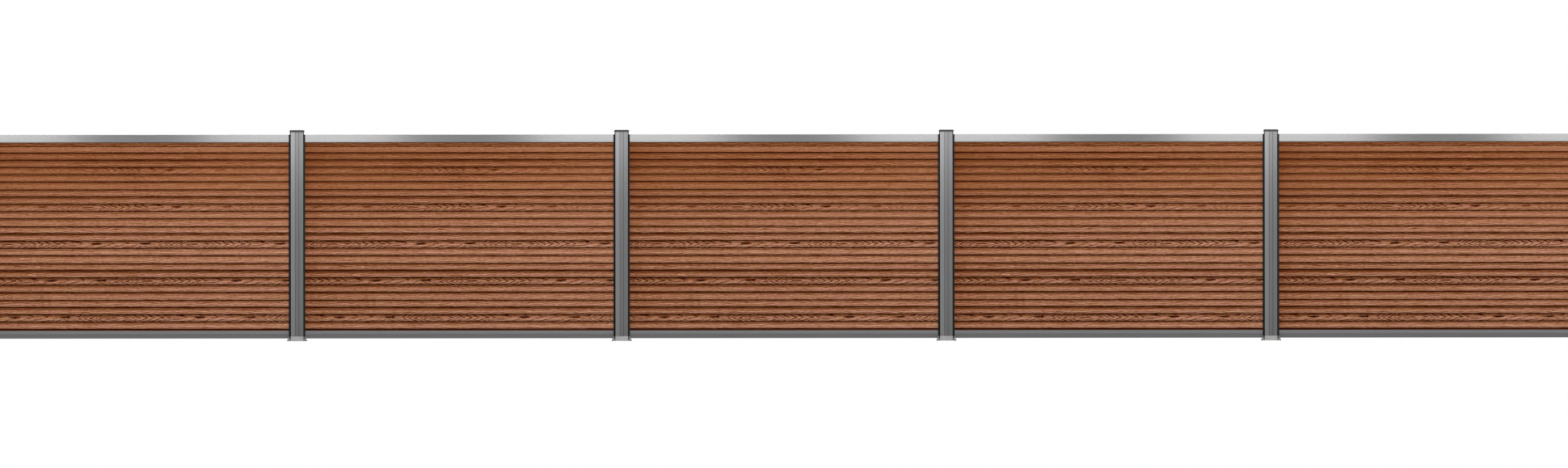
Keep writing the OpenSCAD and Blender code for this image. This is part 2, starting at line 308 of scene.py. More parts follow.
anodised_post, tree, shader = new_material("aluminium_anodised_post")
place = add_node(tree, "ShaderNodeTexCoord", output="Object")
x_post, x_far, y_far, _ = beside_post(tree, place)
# Painted highlight: the left third of each face is paler than the rest.
third = add_node(
    tree,
    "ShaderNodeMapRange",
    {"Value": x_post, "From Min": -groove_line - 1.5 * mm, "From Max": -groove_line + 1.5 * mm},
)
tone = add_node(tree, "ShaderNodeMix", {"Factor": third, "A": post_painted_highlight, "B": post_grey}, data_type="RGBA")
stretch = (1.0 / brush_w, 1.0 / brush_w, 1.0 / post_brush_l)
along = add_node(tree, "ShaderNodeVectorMath", {0: place, 1: stretch}, operation="MULTIPLY")
brush = add_node(tree, "ShaderNodeTexNoise", {"Vector": along, "Scale": 1.0, "Detail": 3.0})
streak = add_node(tree, "ShaderNodeMapRange", {"Value": brush, "To Min": 0.9, "To Max": 1.1})
tone = add_node(tree, "ShaderNodeVectorMath", {0: tone, "Scale": streak}, operation="SCALE")
# Painted shade: the face darkens beside the two grooves.
from_groove = add_node(tree, "ShaderNodeMath", {0: x_far, 1: groove_line}, operation="SUBTRACT")
from_groove = add_node(tree, "ShaderNodeMath", {0: from_groove}, operation="ABSOLUTE")
beside_groove = {"Value": from_groove, "From Min": groove_half, "From Max": groove_half + groove_shade_w}
groove_painted_shade = add_node(
    tree,
    "ShaderNodeMapRange",
    {**beside_groove, "To Min": 0.62, "To Max": 1.0},
    interpolation_type="SMOOTHSTEP",
)
tone = add_node(tree, "ShaderNodeVectorMath", {0: tone, "Scale": groove_painted_shade}, operation="SCALE")
# Painted shade on the post's rounded corners.
near_corner = add_node(tree, "ShaderNodeMath", {0: x_far, 1: y_far}, operation="MINIMUM")
corner = add_node(
    tree,
    "ShaderNodeMapRange",
    {"Value": near_corner, "From Min": corner_line - 1.0 * mm, "From Max": corner_line + 1.0 * mm},
)
tone = add_node(tree, "ShaderNodeMix", {"Factor": corner, "A": tone, "B": corner_painted_shade}, data_type="RGBA")
rough = add_node(tree, "ShaderNodeMapRange", {"Value": brush, "To Min": 0.38, "To Max": 0.5})
bump = add_node(tree, "ShaderNodeBump", {"Height": brush, "Strength": 0.1, "Distance": 0.1 * mm})
feed(tree, shader, {"Base Color": tone, "Metallic": 1.0, "Roughness": rough, "Normal": bump})
for i in range(1, 7):
    dress(f"post_{i}", anodised_post)
dress("end_cover_", anodised_post)


# ---- Channel liners ------------------------------------------------------------------------------
# Black EPDM, extruded: a U in each post's channel that keeps boards and rails from rattling. Its two lips
# show as a narrow black line beside the post.

# EPDM rubber: nearly black, with a dull sheen and a fine chalky bloom.
bloom_spot = 3.8 * mm
epdm_black = linear("#0D0D0D")
epdm_bloom = linear("#1C1C1D")

epdm, tree, shader = new_material("epdm_black")
place = add_node(tree, "ShaderNodeTexCoord", output="Object")
bloom = add_node(tree, "ShaderNodeTexNoise", {"Vector": place, "Scale": 1.0 / bloom_spot, "Detail": 2.0})
black = add_node(
    tree, "ShaderNodeMix", {"Factor": bloom, "A": epdm_black, "B": epdm_bloom}, data_type="RGBA"
)
feed(tree, shader, {"Base Color": black, "Roughness": 0.75})
shader.inputs["Specular IOR Level"].default_value = 0.25
dress("liner_", epdm)


# ---- Bottom rails --------------------------------------------------------------------------------
# Extruded aluminium channel with a box under its floor, anodised darker than the posts as painted shade. It
# stands on the feet and carries the stack of boards.

# Anodised aluminium brushed along the rail, in longer streaks than the posts'.
rail_brush_l = 200.0 * mm


def brushed_rail(name, dark, light, smooth, rough):
    """Anodised aluminium brushed along X: the streaks lie between two colours and two roughnesses."""
    material, tree, shader = new_material(name)
    place = add_node(tree, "ShaderNodeTexCoord", output="Object")
    stretch = (1.0 / rail_brush_l, 1.0 / brush_w, 1.0 / brush_w)
    along = add_node(tree, "ShaderNodeVectorMath", {0: place, 1: stretch}, operation="MULTIPLY")
    brush = add_node(tree, "ShaderNodeTexNoise", {"Vector": along, "Scale": 1.0, "Detail": 3.0})
    tone = add_node(tree, "ShaderNodeMix", {"Factor": brush, "A": dark, "B": light}, data_type="RGBA")
    dull = add_node(tree, "ShaderNodeMapRange", {"Value": brush, "To Min": smooth, "To Max": rough})
    bump = add_node(tree, "ShaderNodeBump", {"Height": brush, "Strength": 0.1, "Distance": 0.1 * mm})
    feed(tree, shader, {"Base Color": tone, "Metallic": 1.0, "Roughness": dull, "Normal": bump})
    return material


# The bottom rail's darker colours are painted shade, and the top rail's paler ones painted light.
anodised_bottom = brushed_rail(
    "aluminium_anodised_bottom_rail", linear("#4D4D4E"), linear("#676768"), smooth=0.5, rough=0.62
)
dress("bottom_rail_", anodised_bottom)


# ---- Boards --------------------------------------------------------------------------------------
# Wood-plastic composite, extruded hollow with a wood-coloured cap, then embossed by a heated roller and
# brushed. Five boards with tongue and groove are stacked in each bay, and a strip closes the stack.

# Heights and depths of the sections, in millimetres. A depth is measured back from the crests of the face.
board_count = 5
board_cover = 208.8
board_half = 13.0
groove_in = 6.0
slat_pitch = 41.2
curved_slats = 4
first_slat_h = 42.0
first_flat_h = 22.0
groove_w = 4.0
rise_h = 13.0
rise_in = 4.0
fall_in = 3.2
bead_h = 5.0
bead_in = 3.4
notch_w = 1.0
notch_in = 4.4
edge_bevel = 1.0
foot_band_h = 8.0
tongue_half = 4.0
tongue_h = 8.0
slot_half = 4.3
slot_h = 9.0
joint_gap = 0.3
strip_h = 98.2
strip_slat_h = 31.5
strip_groove_w = 4.0
strip_band_in = 2.0
chamber_half = 7.5
chamber_cut = 4.0
web_t = 5.0

# Stations along a board, the height where its emboss starts, and how far the grooves wander, slat by slat.
board_stations = 81
emboss_from = 30.0
emboss_depth = 0.4 * mm
slat_wander = np.array([0.5, 0.6, 0.9, 1.2, 1.2, 0.8, 0.0, 0.0])


def arc(h0, h1, run, sag, steps):
    """Depth behind the crest of an arc that leaves it tangentially: r - sqrt(r^2 - t^2) at distance t.

    h0 is the crest's height and h1 the other end's. The rows (height, depth) run upwards.
    """
    r = (run * run + sag * sag) / (2.0 * sag)
    t = np.linspace(0.0, run, steps)
    rows = np.stack([h0 + np.sign(h1 - h0) * t, r - np.sqrt(r * r - t * t)], -1)
    return rows if h1 > h0 else rows[::-1]


def bead(h):
    """The notch over a slat's face and the small rounded bead above it, rows (height, depth)."""
    sag = notch_in - bead_in
    run = bead_h / 2.0
    r = (run * run + sag * sag) / (2.0 * sag)
    t = np.linspace(-run, run, 5)
    crown = np.stack([h + notch_w + run + t, bead_in + r - np.sqrt(r * r - t * t)], -1)
    return np.vstack([[(h, notch_in)], crown])


def groove(h, width):
    """The floor of the groove above a slat, rows (height, depth)."""
    return np.array([(h, groove_in), (h + width, groove_in)])


def board_face():
    """One face of a board from its lower to its upper edge: rows (height, depth, slat + share of it)."""
    first_main = first_slat_h - groove_w / 2.0 - notch_w - bead_h
    rows = [
        [(0.0, edge_bevel), (edge_bevel, 0.0), (foot_band_h, 0.0)],
        arc(first_flat_h, first_main, first_main - first_flat_h, fall_in, 6),
        bead(first_main),
        groove(first_slat_h - groove_w / 2.0, groove_w),
    ]
    main = slat_pitch - groove_w - notch_w - bead_h
    for k in range(curved_slats):
        foot = first_slat_h + groove_w / 2.0 + k * slat_pitch
        topmost = k == curved_slats - 1
        rows += [
            arc(foot + rise_h, foot, rise_h, rise_in, 6),
            arc(foot + rise_h, foot + main, main - rise_h, fall_in, 7)[1:],
            bead(foot + main),
            groove(foot + slat_pitch - groove_w, groove_w - joint_gap if topmost else groove_w),
        ]
    h, depth = np.vstack(rows).T
    share = np.where(h < first_slat_h, (h + groove_w / 2.0) / (first_slat_h + groove_w / 2.0), 0.0)
    share = np.where(h >= first_slat_h, 1.0 + (h - first_slat_h) / slat_pitch, share)
    return np.stack([h, depth, share], -1)


def strip_face():
    """One face of the closing strip: a flat slat, a groove, and a band set back that the rail covers."""
    band = strip_slat_h + strip_groove_w
    h, d = np.array([
        (0.0, edge_bevel),
        (edge_bevel, 0.0),
        (foot_band_h, 0.0),
        (strip_slat_h - edge_bevel, 0.0),
        (strip_slat_h, edge_bevel),
        (strip_slat_h, groove_in),
        (band, groove_in),
        (band, strip_band_in),
        (strip_h, strip_band_in),
    ]).T
    share = np.clip(h / (strip_slat_h + strip_groove_w / 2.0), 0.0, 1.999)
    return np.stack([h, d, board_count + share], -1)


def board_loop(face, top, tongue):
    """The section's outline, up the front at -Y and down the back: rows (y, z, share)."""
    front = np.stack([face[:, 1] - board_half, face[:, 0], face[:, 2]], -1)
    back = front[::-1] * (-1.0, 1.0, 1.0)
    high, low = face[-1, 2], face[0, 2]
    y, z = tongue_half, top + tongue
    crown = [(-y, top, high), (-y, z, high), (y, z, high), (y, top, high)] if tongue else front[:0]
    y, z = slot_half, slot_h
    slot = [(y, 0.0, low), (y, z, low), (-y, z, low), (-y, 0.0, low)]
    return np.vstack([front, crown, back, slot])


def chamber(low, high):
    """Outline of a hollow with its corners cut, up its back and down its front: rows (y, z)."""
    x, c = chamber_half, chamber_cut
    right = [(x - c, low), (x, low + c), (x, high - c), (x - c, high)]
    return np.array(right + [(-y, z) for y, z in right[::-1]])


def end_triangles(outlines):
    """Corners of the anticlockwise triangles that fill the first outline and leave the hollows open.

    They are a Delaunay triangulation between the outlines, less the triangles that lie in a hollow.
    """
    counts = [len(outline) for outline in outlines]
    owner = np.repeat(np.arange(len(counts)), counts)
    ends = np.cumsum(counts)
    before = np.arange(ends[-1])
    after = before + 1
    after[ends - 1] = ends - counts
    edges = np.stack([before, after], -1)
    flat = np.vstack(outlines).tolist()
    _, _, triangles, sources, _, _ = delaunay_2d_cdt(flat, edges.tolist(), [], 1, 1e-6)
    triangles = np.array([source[0] for source in sources])[np.array(triangles)]
    on_hollow = (owner[triangles] == owner[triangles[:, :1]]).all(1) & (owner[triangles[:, 0]] > 0)
    return triangles[~on_hollow]


def extruded(loop, hollows, x, wave):
    """The closed surface of a section carried along x, with a straight tube for each hollow.

    Point (i, p) of the outside lies at (x_i, y_p, z_p + wave(x_i, p)).
    """
    outlines = [loop[:, :2], *hollows]
    points, quads, first, last, start = [], [], [], [], 0
    for number, outline in enumerate(outlines):
        count = len(outline)
        stations = x if number == 0 else x[[0, -1]]
        grid = np.empty((len(stations), count, 3))
        grid[..., 0] = stations[:, None]
        grid[..., 1] = outline[:, 0] * mm
        grid[..., 2] = outline[:, 1] * mm + (wave if number == 0 else 0.0)
        i, p = np.meshgrid(np.arange(len(stations) - 1), np.arange(count), indexing="ij")
        q = (p + 1) % count
        tube = np.stack([i * count + p, (i + 1) * count + p, (i + 1) * count + q, i * count + q], -1)
        quads.append(start + tube.reshape(-1, 4))
        points.append(grid.reshape(-1, 3))
        first.append(start + np.arange(count))
        start += grid.size // 3
        last.append(start - count + np.arange(count))
    triangles = end_triangles(outlines)
    ends = np.vstack([np.concatenate(last)[triangles], np.concatenate(first)[triangles[:, ::-1]]])
    return np.vstack(points), np.vstack(quads), ends


def emboss_wave(x, loop, seed):
    """The roller's press on the grooves, in metres: a mean of sines with seeded phases for each slat.

    Grooves, beads and notches wander by up to half a millimetre. The crests and the board's own edges stay
    straight.
    """
    draw = np.random.default_rng(seed)
    side = np.abs(loop[:, 0])
    height = loop[:, 1]
    deep = np.clip((board_half - side - 2.0) / 2.0, 0.0, 1.0)
    inside = (height > emboss_from) & (height < board_cover - tongue_h) & (side > slot_half)
    slat = np.floor(loop[:, 2] + 0.45).astype(int)
    wander = np.zeros((len(slat_wander), len(x)))
    for k in range(len(slat_wander)):
        lengths = draw.uniform(0.09, 0.45, 6)
        phases = draw.uniform(0.0, 2.0 * np.pi, 6)
        wander[k] = np.sin(np.outer(1.0 / lengths, 2.0 * np.pi * x).T + phases).mean(1) * slat_wander[k]
    return wander[slat].T * deep * inside * emboss_depth


# Wood-plastic composite: a matt brown whose darks are a saturated red-brown and whose lights are pinkish.
# The roller leaves short streaks and a cathedral figure on each board's third slat, and painted shade
# darkens the grooves.
roller = 1.048
figure_slat = 2
labels = ("drift", "figure", "warmth", "rings", "apart", "axis", "arms", "dashes")

composite, tree, shader = new_material("wood_plastic_composite_embossed")
uv = add_node(tree, "ShaderNodeTexCoord", output="UV")
parts = add_node(tree, "ShaderNodeSeparateXYZ", {"Vector": uv}).node
u, v = parts.outputs["X"], parts.outputs["Y"]
share = add_node(tree, "ShaderNodeMath", {0: v}, operation="FRACT")
drift, strength, warmth, rings, apart, axis, arms, dashes = (
    add_node(tree, "ShaderNodeAttribute", attribute_name=label, output="Fac") for label in labels
)


def grain_noise(length, height, output=0, **settings):
    """Noise on the board's face whose marks are about that long and that high, in millimetres."""
    scale = (1.0 / (length * mm), slat_pitch / height, 1.0)
    stretched = add_node(tree, "ShaderNodeVectorMath", {0: uv, 1: scale}, operation="MULTIPLY")
    inputs = {"Vector": stretched, "Scale": 1.0, **settings}
    return add_node(tree, "ShaderNodeTexNoise", inputs, output=output)


# Streaks, specks, the brush's own lines, and patches that vary the rest, each with its length and height.
streaks = grain_noise(110.0, 4.6, Detail=4.0, Roughness=0.65, Distortion=0.6)
specks = grain_noise(22.0, 3.2, Detail=3.0, Roughness=0.7)
brush = grain_noise(26.0, 0.86, Detail=2.0, Distortion=0.4)
waves = grain_noise(77.0, 29.0, Detail=2.0)
patches = grain_noise(165.0, 19.0, output="Color", Detail=2.0)
patch = add_node(tree, "ShaderNodeSeparateXYZ", {"Vector": patches}).node

# Cathedral figure, the same on every turn of the roller: a dark line 3 mm wide wherever rings + arms (d +
# noise) is a whole number and a half. Here d is the distance from the figure's axis, as a share of the
# slat, taken 0.95 times above it and 1.25 times below, and "apart" is the distance of two lines in mm.
turn_u = add_node(tree, "ShaderNodeMath", {0: u, 1: roller}, operation="FLOORED_MODULO")
turn_uv = add_node(tree, "ShaderNodeCombineXYZ", {"X": turn_u, "Y": share})
bend_scale = (1.0 / (50.0 * mm), slat_pitch / 18.73, 1.0)
bent_uv = add_node(tree, "ShaderNodeVectorMath", {0: turn_uv, 1: bend_scale}, operation="MULTIPLY")
bends = add_node(tree, "ShaderNodeTexNoise", {"Vector": bent_uv, "Scale": 1.0, "Detail": 1.0})
above = add_node(tree, "ShaderNodeMath", {0: share, 1: axis}, operation="SUBTRACT")
below = add_node(tree, "ShaderNodeMath", {0: above, 1: -1.25}, operation="MULTIPLY")
above = add_node(tree, "ShaderNodeMath", {0: above, 1: 0.95}, operation="MULTIPLY")
from_axis = add_node(tree, "ShaderNodeMath", {0: above, 1: below}, operation="MAXIMUM")
from_axis = add_node(tree, "ShaderNodeMath", {0: bends, 1: 0.5, 2: from_axis}, operation="MULTIPLY_ADD")
from_axis = add_node(tree, "ShaderNodeMath", {0: from_axis, 1: 0.25}, operation="SUBTRACT")
ring = add_node(tree, "ShaderNodeMath", {0: from_axis, 1: arms, 2: rings}, operation="MULTIPLY_ADD")
ring = add_node(tree, "ShaderNodeMath", {0: ring}, operation="FRACT")
ring = add_node(tree, "ShaderNodeMath", {0: ring, 1: 0.5}, operation="SUBTRACT")
ring = add_node(tree, "ShaderNodeMath", {0: ring}, operation="ABSOLUTE")
from_line = add_node(tree, "ShaderNodeMath", {0: ring, 1: apart}, operation="MULTIPLY")
ring_line = add_node(
    tree,
    "ShaderNodeMapRange",
    {"Value": from_line, "From Min": 2.5, "From Max": 0.6},
    interpolation_type="SMOOTHSTEP",
)
broken = add_node(
    tree,
    "ShaderNodeMapRange",
    {"Value": streaks, "From Min": 0.38, "From Max": 0.48, "To Min": 0.2},
    interpolation_type="SMOOTHSTEP",
)
figured = add_node(tree, "ShaderNodeMath", {0: v, 1: figure_slat + 0.5, 2: 0.5}, operation="COMPARE")
figured = add_node(tree, "ShaderNodeMath", {0: figured, 1: strength}, operation="MULTIPLY")
in_light = add_node(
    tree,
    "ShaderNodeMapRange",
    {"Value": drift, "From Min": 0.22, "From Max": 0.58, "To Min": 0.1, "To Max": 1.0},
)
figured = add_node(tree, "ShaderNodeMath", {0: figured, 1: in_light}, operation="MULTIPLY")
ring_line = add_node(tree, "ShaderNodeMath", {0: ring_line, 1: broken}, operation="MULTIPLY")

# Dark dashes 50 mm long, twice a turn of the roller, a little above the figure's middle.
dash_share = 0.64
above = add_node(tree, "ShaderNodeMath", {0: share, 1: dash_share}, operation="SUBTRACT")
above = add_node(tree, "ShaderNodeMath", {0: above}, operation="ABSOLUTE")
dash = add_node(
    tree,
    "ShaderNodeMapRange",
    {"Value": above, "From Min": 0.15, "From Max": 0.04},
    interpolation_type="SMOOTHSTEP",
)
dash = add_node(tree, "ShaderNodeMath", {0: dash, 1: dashes}, operation="MULTIPLY")
dash = add_node(tree, "ShaderNodeMath", {0: dash, 1: 1.25}, operation="MULTIPLY")
ring_line = add_node(tree, "ShaderNodeMath", {0: ring_line, 1: dash}, operation="MAXIMUM")
ring_line = add_node(tree, "ShaderNodeMath", {0: ring_line, 1: figured}, operation="MULTIPLY")

# Wavy grain 9 mm apart that meanders by 6 mm, strongest on the two upper slats.
wavy = add_node(tree, "ShaderNodeMath", {0: waves, 1: 4.5}, operation="MULTIPLY")
wavy = add_node(tree, "ShaderNodeMath", {0: v, 1: 9.0, 2: wavy}, operation="MULTIPLY_ADD")
wavy = add_node(tree, "ShaderNodeMath", {0: wavy, 1: 1.0}, operation="PINGPONG")
upper_slat = add_node(
    tree,
    "ShaderNodeMapRange",
    {"Value": v, "From Min": 2.9, "From Max": 3.1, "To Min": 0.7, "To Max": 1.0},
)
wavy = add_node(tree, "ShaderNodeMath", {0: wavy, 1: 0.5}, operation="SUBTRACT")
wavy = add_node(tree, "ShaderNodeMath", {0: wavy, 1: upper_slat}, operation="MULTIPLY")

# Ripple marks 11 mm apart that cross the lower slats aslant, in patches.
ripples_per_metre = 88.0
slant = add_node(tree, "ShaderNodeMath", {0: u, 1: ripples_per_metre, 2: waves}, operation="MULTIPLY_ADD")
slant = add_node(tree, "ShaderNodeMath", {0: v, 1: 3.2, 2: slant}, operation="MULTIPLY_ADD")
ripple = add_node(tree, "ShaderNodeMath", {0: slant, 1: 0.5}, operation="PINGPONG")
ripple = add_node(tree, "ShaderNodeMath", {0: ripple, 1: 0.25}, operation="SUBTRACT")
rippled = add_node(
    tree,
    "ShaderNodeMapRange",
    {"Value": patch.outputs["Y"], "From Min": 0.5, "From Max": 0.62},
    interpolation_type="SMOOTHSTEP",
)
lower_slat = add_node(tree, "ShaderNodeMath", {0: v, 1: 2.0}, operation="LESS_THAN")
ripple = add_node(tree, "ShaderNodeMath", {0: ripple, 1: rippled}, operation="MULTIPLY")
ripple = add_node(tree, "ShaderNodeMath", {0: ripple, 1: lower_slat}, operation="MULTIPLY")

# The tone is the red value of the colour, from the piece's own drift, which holds painted light and shade,
# and the textures, which are fainter on boards with a faint figure and in the painted shade of the grooves.
grain = -0.7
for texture, amount in ((streaks, 0.54), (specks, 0.6), (brush, 0.26), (wavy, 0.32), (ripple, 0.24)):
    grain = add_node(tree, "ShaderNodeMath", {0: texture, 1: amount, 2: grain}, operation="MULTIPLY_ADD")
vigour = add_node(tree, "ShaderNodeMapRange", {"Value": strength, "To Min": 0.58, "To Max": 1.0})
vigour = add_node(tree, "ShaderNodeMath", {0: vigour, 1: in_light}, operation="MULTIPLY")
tone = add_node(tree, "ShaderNodeMath", {0: grain, 1: vigour, 2: drift}, operation="MULTIPLY_ADD")
tone = add_node(tree, "ShaderNodeMath", {0: ring_line, 1: -0.6, 2: tone}, operation="MULTIPLY_ADD")

# From the dark of a groove to the palest streak, each shade at its own red value.
dark_shades = ("#210100", "#360F00", "#421802", "#4E1F04", "#663415")
pale_shades = ("#7E4C2D", "#966347", "#A17055", "#AD7B60", "#C3917A")
shades = dark_shades + pale_shades

colour = add_node(tree, "ShaderNodeValToRGB", {"Fac": tone})
ramp = colour.node.color_ramp
while len(ramp.elements) < len(shades):
    ramp.elements.new(0.5)
for element, shade in zip(ramp.elements, shades):
    element.position = int(shade[1:3], 16) / 255.0
    element.color = linear(shade)

# Patches of the cap turn a little yellow or pink, and the upper boards are a warmer brown throughout.
unchanged = (1.0, 1.0, 1.0, 1.0)
yellower = (0.98, 1.015, 0.92, 1.0)
pinker = (1.02, 0.98, 1.05, 1.0)
warmer = (1.0, 0.88, 0.71, 1.0)

pink = add_node(
    tree, "ShaderNodeMapRange", {"Value": patch.outputs["X"], "From Min": 0.36, "From Max": 0.64}
)
hue = add_node(tree, "ShaderNodeMix", {"Factor": pink, "A": yellower, "B": pinker}, data_type="RGBA")
warm = add_node(tree, "ShaderNodeMix", {"Factor": warmth, "A": unchanged, "B": warmer}, data_type="RGBA")
for tint in (hue, warm):
    colour = add_node(tree, "ShaderNodeVectorMath", {0: colour, 1: tint}, operation="MULTIPLY")
rough = add_node(tree, "ShaderNodeMapRange", {"Value": streaks, "To Min": 0.62, "To Max": 0.78})
relief = add_node(tree, "ShaderNodeMath", {0: specks, 1: 0.5, 2: streaks}, operation="MULTIPLY_ADD")
relief = add_node(tree, "ShaderNodeMath", {0: brush, 1: 0.4, 2: relief}, operation="MULTIPLY_ADD")
relief = add_node(tree, "ShaderNodeMath", {0: relief, 1: ring_line}, operation="SUBTRACT")
bump = add_node(tree, "ShaderNodeBump", {"Height": relief, "Strength": 0.6, "Distance": 0.5 * mm})
feed(tree, shader, {"Base Color": colour, "Roughness": rough, "Normal": bump})
shader.inputs["Specular IOR Level"].default_value = 0.03

# One turn of the roller, in metres from its start: the rings counted so far, the rings that the figure's
# arms cross, the height of its axis as a share of the slat, and the dark dashes.
ring_places = np.array([0.0, 0.09, 0.21, 0.263, 0.33, 0.61, 0.8, 0.957, roller])
ring_counts = np.array([7.0, 5.5, 1.5, 0.2, 0.8, 7.5, 9.5, 11.5, 12.0])
rings_per_turn = 5.0
arm_places = (0.0, 0.1, 0.3, 0.6, 0.7, 0.98, roller)
arm_rings = (2.9, 3.0, 3.0, 2.7, 1.4, 1.4, 2.9)
axis_places = (0.0, 0.04, 0.09, 0.263, 0.6, roller)
axis_shares = (0.8, 0.75, 0.45, 0.55, 0.63, 0.8)
dash_places = (0.01, 0.774, 0.01 + roller)
dash_reach = 0.022

# Where a turn of the roller starts, from a bay's left end, and how many turns on the back is there, which
# runs the other way. Then for each board of a bay, the lowest first, and for the closing strip: its shift,
# how strong the figure is, the red value of the crests and its rise from slat to slat, the warmth, and how
# strong the painted shade in the depths is. The two lists after them go by slats.
roller_start = 0.495
back_turns = 5.37
board_shifts = (0.0, 0.206, 0.458, 0.916, 0.876, 0.876)
board_figures = (0.9, 1.0, 0.9, 0.36, 0.13, 0.0)
board_tones = (0.638, 0.62, 0.645, 0.632, 0.602, 0.593)
board_slopes = (0.0, 0.0, 0.0, -0.006, -0.009, 0.0)
board_warmth = (0.0, 0.0, 0.1, 0.3, 0.75, 0.75)
board_depths = (1.3, 1.36, 1.2, 0.98, 0.7, 0.55)
slat_tones = np.array([0.0, 0.022, 0.028, 0.0, 0.0, 0.0, 0.0])
groove_depths = np.array([0.95, 1.05, 0.98, 1.03, 1.27, 0.92, 1.0, 1.0])


def ring_phase(u):
    """The figure at u along the roller: ring count, distance of two lines in mm, axis, arms, dark dashes.

    The count runs straight between a few turning points, and 5 more are counted on each turn. The arms are
    the rings crossed in one slat's height h from the axis, so that two lines lie
    1 / sqrt(count'^2 + (arms / h)^2) apart. A dash fades out 25 mm on either side of its place.
    """
    turn = np.floor(u / roller)
    place = u - turn * roller
    count = np.interp(place, ring_places, ring_counts) + rings_per_turn * turn
    slopes = np.diff(ring_counts) / np.diff(ring_places) * mm
    slope = slopes[np.searchsorted(ring_places, place, side="right") - 1]
    arms = np.interp(place, arm_places, arm_rings)
    axis = np.interp(place, axis_places, axis_shares)
    apart = 1.0 / np.hypot(slope, arms / slat_pitch)
    dash = sum(np.exp(-(((place - spot) / dash_reach) ** 4)) for spot in dash_places)
    return count, apart, axis, arms, dash


def board_drift(x_share, slat, depth, height, number):
    """Red value of the cap: paler towards a bay's right end, and darker the deeper it lies.

    Painted shade leaves the crests and darkens the depths. At d mm the loss is 0.02 d + 0.0024 d^3 on a
    slat's lower half, 0.043 d on its upper half and 0.03 less on the bead, 0.5 in a groove, and 0.2 more at
    the board's own edges. On the upper boards it is less, except near the middle of the bay. The right
    end's paleness is painted light, and the left end's dark a painted shadow of the post. Each piece's foot
    is darker, painted shade darkens the lowest board's first slat above the bottom rail, and a painted
    shadow of the top rail darkens the closing strip's band.
    """
    # Painted light makes the bay paler towards its right end, and a painted shadow of the post darkens its
    # left end.
    along = 0.04 * (x_share - 0.5) - 0.06 * np.exp(-x_share / 0.06)
    along = along + board_slopes[number] * slat + slat_tones[np.floor(slat).astype(int)]
    share = slat % 1.0
    on_bead = (share > 0.825) & (share < 0.956)
    # Painted shade in the depths, strongest in the grooves and at the board's own edges.
    depth_shade = np.where(share < 0.5, 0.02 * depth + 0.0024 * depth**3, 0.043 * depth - 0.03 * on_bead)
    depth_shade = np.where(depth > groove_in - 0.1, 0.5, depth_shade)
    depth_shade = depth_shade + 0.2 * ((height < 0.8 * edge_bevel) | (height > board_cover - groove_w - edge_bevel))
    darkness = board_depths[number]
    if number < board_count:
        middle = np.exp(-(((x_share - 0.5) / 0.22) ** 2))
        darkness = darkness + max(1.0 - darkness, 0.0) * middle
    # A darker foot on each piece; painted shade on the lowest board's first slat, and a painted shadow of
    # the top rail on the closing strip's band.
    foot_dark_and_painted_shade = 0.07 * (height < foot_band_h - 0.5)
    if number == 0:
        foot_dark_and_painted_shade = foot_dark_and_painted_shade + 0.15 * (height < first_slat_h + groove_w / 2.0)
    if number == board_count:
        foot_dark_and_painted_shade = foot_dark_and_painted_shade + 0.07 * (slat > board_count + 1.0)
    return board_tones[number] + along - darkness * groove_depths[np.rint(slat).astype(int)] * depth_shade - foot_dark_and_painted_shade


def board_piece(name, x0, x1, base, loop, hollows, number, node):
    """A board or the closing strip as one piece, with its UV map and its attributes."""
    x = np.linspace(x0, x1, board_stations)
    points, quads, triangles = extruded(loop, hollows, x, emboss_wave(x - x0, loop, number))
    points = points + (0.0, 0.0, base)
    piece = new_piece(name, (points, quads, triangles), composite)
    mesh = piece.data
    along = points[:, 0] - x0
    x_share = along / (x1 - x0)
    depth = np.clip(board_half - np.abs(points[:, 1]) / mm, 0.0, groove_in)
    height = (points[:, 2] - base) / mm
    u = np.where(points[:, 1] < 0.0, along, back_turns * roller - along)
    u = u - roller_start - board_shifts[number]
    v = np.zeros(len(points))
    v[: board_stations * len(loop)] = np.tile(loop[:, 2], board_stations)
    drift = board_drift(x_share, v, depth, height, number)
    middle = np.exp(-(((x_share - 0.5) / 0.2) ** 2))
    figure = np.minimum(1.0, board_figures[number] + 0.4 * middle)
    warmth = np.full(len(points), board_warmth[number])
    for label, values in zip(labels, (drift, figure, warmth, *ring_phase(u))):
        mesh.attributes.new(label, "FLOAT", "POINT").data.foreach_set("value", values.astype(np.float32))
    index = np.empty(len(mesh.loops), np.int32)
    mesh.loops.foreach_get("vertex_index", index)
    pairs = np.stack([u + 7.0 * roller * number, v], -1)[index]
    mesh.uv_layers.new(name="face").data.foreach_set("uv", pairs.astype(np.float32).ravel())
    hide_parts(node)
    return piece


loop = board_loop(board_face(), board_cover - joint_gap, tongue_h + joint_gap)
levels = [first_slat_h + k * slat_pitch for k in range(curved_slats + 1)]
hollows = [chamber(slot_h + web_t / 2.0, first_slat_h - web_t / 2.0)]
hollows += [chamber(low + web_t / 2.0, high - web_t / 2.0) for low, high in zip(levels, levels[1:])]
strip_loop = board_loop(strip_face(), strip_h, 0.0)
strip_web = strip_slat_h + strip_groove_w / 2.0
strip_hollows = [
    chamber(slot_h + web_t / 2.0, strip_web - web_t / 2.0),
    chamber(strip_web + web_t / 2.0, strip_h - web_t),
]
for bay in range(1, 6):
    node = f"board_panel_{bay}"
    low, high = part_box(node)
    for number in range(board_count):
        base = low.z + number * board_cover * mm
        board_piece(f"bay_{bay}_board_{number + 1}", low.x, high.x, base, loop, hollows, number, node)
    base = low.z + board_count * board_cover * mm
    strip = f"bay_{bay}_closing_strip"
    board_piece(strip, low.x, high.x, base, strip_loop, strip_hollows, board_count, node)


# ---- Top rails -----------------------------------------------------------------------------------
# Extruded aluminium, brushed and anodised in silver: a channel turned upside down over the closing strip,
# with its ends in the posts' channels.

